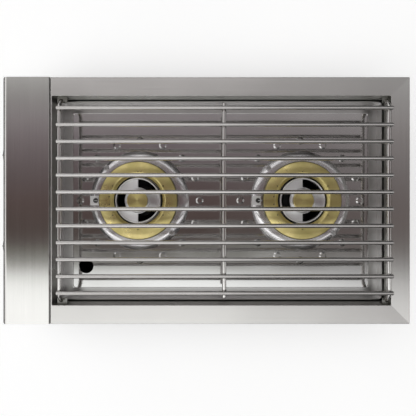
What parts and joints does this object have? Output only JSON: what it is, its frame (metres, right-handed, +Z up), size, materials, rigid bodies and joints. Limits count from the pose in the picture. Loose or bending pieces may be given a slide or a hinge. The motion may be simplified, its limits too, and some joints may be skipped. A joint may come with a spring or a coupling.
{
  "type": "built-in double side burner",
  "caption": "Drop-in stainless gas side burner for an outdoor kitchen: deck frame, rod grate, mirror drip pan, brass-capped burners and front controls.",
  "frame": {"origin": "under the middle of the whole unit, level with the underside of the firebox", "axes": "+Z up, controls at -Y, user's left at -X, +Y to the back"},
  "size_m": [0.35, 0.6026, 0.132],
  "materials": {
    "brushed_stainless": "satin, brushed along each rail",
    "plain_stainless": "dull mill finish",
    "mirror_stainless": "mirror polished",
    "grate_steel": "electropolished rod",
    "screw_steel": "bright",
    "pipe_steel": "drawn tube",
    "brass": "satin machined",
    "cast_aluminium": "sand cast",
    "polished_crown": "polished casting",
    "knob_metal": "satin chrome",
    "black_plastic": "gloss",
    "white_ceramic": "glazed ceramic",
    "lead_rubber": "silicone jacket",
    "cell_jacket": "wrapped cell"
  },
  "bodies": {
    "firebox": {"base_plate": "plain_stainless", "battery": "cell_jacket", "control_panel": "brushed_stainless", "deck_frame": "brushed_stainless", "dish_screws": "screw_steel", "drip_pan": "mirror_stainless", "firebox_back_wall": "plain_stainless", "firebox_front_wall": "plain_stainless", "firebox_left_wall": "plain_stainless", "firebox_right_wall": "plain_stainless", "front_bezel": "knob_metal", "front_burner_base": "cast_aluminium", "front_burner_dish": "mirror_stainless", "front_electrode_bracket": "plain_stainless", "front_electrode_ceramic": "white_ceramic", "front_electrode_rod": "screw_steel", "front_ignition_lead": "lead_rubber", "front_inner_crown": "polished_crown", "front_orifice": "brass", "front_valve_body": "cast_aluminium", "front_venturi": "pipe_steel", "gas_inlet_fitting": "brass", "gas_manifold": "pipe_steel", "grate_supports": "plain_stainless", "igniter_module": "black_plastic", "igniter_nut": "screw_steel", "igniter_spring": "screw_steel", "manifold_brackets": "plain_stainless", "panel_end_cheeks": "brushed_stainless", "panel_screws": "screw_steel", "rear_bezel": "knob_metal", "rear_burner_base": "cast_aluminium", "rear_burner_dish": "mirror_stainless", "rear_electrode_bracket": "plain_stainless", "rear_electrode_ceramic": "white_ceramic", "rear_electrode_rod": "screw_steel", "rear_ignition_lead": "lead_rubber", "rear_inner_crown": "polished_crown", "rear_orifice": "brass", "rear_valve_body": "cast_aluminium", "rear_venturi": "pipe_steel"},
    "front_tap": {"front_tap_plug": "brass", "front_stem_spring": "screw_steel"},
    "front_knob_set": {"front_valve_stem": "screw_steel", "front_knob": "knob_metal", "front_knob_pointer": "black_plastic"},
    "rear_tap": {"rear_tap_plug": "brass", "rear_stem_spring": "screw_steel"},
    "rear_knob_set": {"rear_valve_stem": "screw_steel", "rear_knob": "knob_metal", "rear_knob_pointer": "black_plastic"},
    "button": {"igniter_button": "black_plastic"},
    "front_shutter": {"front_air_shutter": "plain_stainless"},
    "rear_shutter": {"rear_air_shutter": "plain_stainless"},
    "front_ring": {"front_ring_cap": "brass"},
    "rear_ring": {"rear_ring_cap": "brass"},
    "front_button_cap": {"front_centre_cap": "brass"},
    "rear_button_cap": {"rear_centre_cap": "brass"},
    "grate": {"grate_bars": "grate_steel", "grate_cross_rods": "grate_steel"}
  },
  "joints": [
    {"name": "front_tap_turn", "type": "hinge", "parent": "firebox", "child": "front_tap", "pos_m": [-0.07, -0.2533, 0.056], "axis": [0, -1, 0], "range_deg": [0, 180]},
    {"name": "front_knob_push", "type": "slide", "parent": "front_tap", "child": "front_knob_set", "axis": [0, 1, 0], "range_m": [0, 0.003], "stiffness_N_per_m": 1500, "springref_m": -0.003, "deforming": ["front_stem_spring"]},
    {"name": "front_air_shutter_turn", "type": "hinge", "parent": "firebox", "child": "front_shutter", "pos_m": [-0.07, -0.21575, 0.056], "axis": [0, 1, 0], "range_deg": [0, 50]},
    {"name": "front_ring_cap_lift", "type": "slide", "parent": "firebox", "child": "front_ring", "axis": [0, 0, 1], "range_m": [0, 0.015]},
    {"name": "front_centre_cap_lift", "type": "slide", "parent": "firebox", "child": "front_button_cap", "axis": [0, 0, 1], "range_m": [0, 0.015]},
    {"name": "rear_tap_turn", "type": "hinge", "parent": "firebox", "child": "rear_tap", "pos_m": [0.07, -0.2533, 0.056], "axis": [0, -1, 0], "range_deg": [0, 180]},
    {"name": "rear_knob_push", "type": "slide", "parent": "rear_tap", "child": "rear_knob_set", "axis": [0, 1, 0], "range_m": [0, 0.003], "stiffness_N_per_m": 1500, "springref_m": -0.003, "deforming": ["rear_stem_spring"]},
    {"name": "rear_air_shutter_turn", "type": "hinge", "parent": "firebox", "child": "rear_shutter", "pos_m": [0.07, -0.21575, 0.056], "axis": [0, 1, 0], "range_deg": [0, 50]},
    {"name": "rear_ring_cap_lift", "type": "slide", "parent": "firebox", "child": "rear_ring", "axis": [0, 0, 1], "range_m": [0, 0.015]},
    {"name": "rear_centre_cap_lift", "type": "slide", "parent": "firebox", "child": "rear_button_cap", "axis": [0, 0, 1], "range_m": [0, 0.015]},
    {"name": "igniter_button_push", "type": "slide", "parent": "firebox", "child": "button", "axis": [0, 1, 0], "range_m": [0, 0.004], "stiffness_N_per_m": 800, "springref_m": -0.003, "deforming": ["igniter_spring"]},
    {"name": "grate_lift", "type": "slide", "parent": "firebox", "child": "grate", "axis": [0, 0, 1], "range_m": [0, 0.15]}
  ]
}
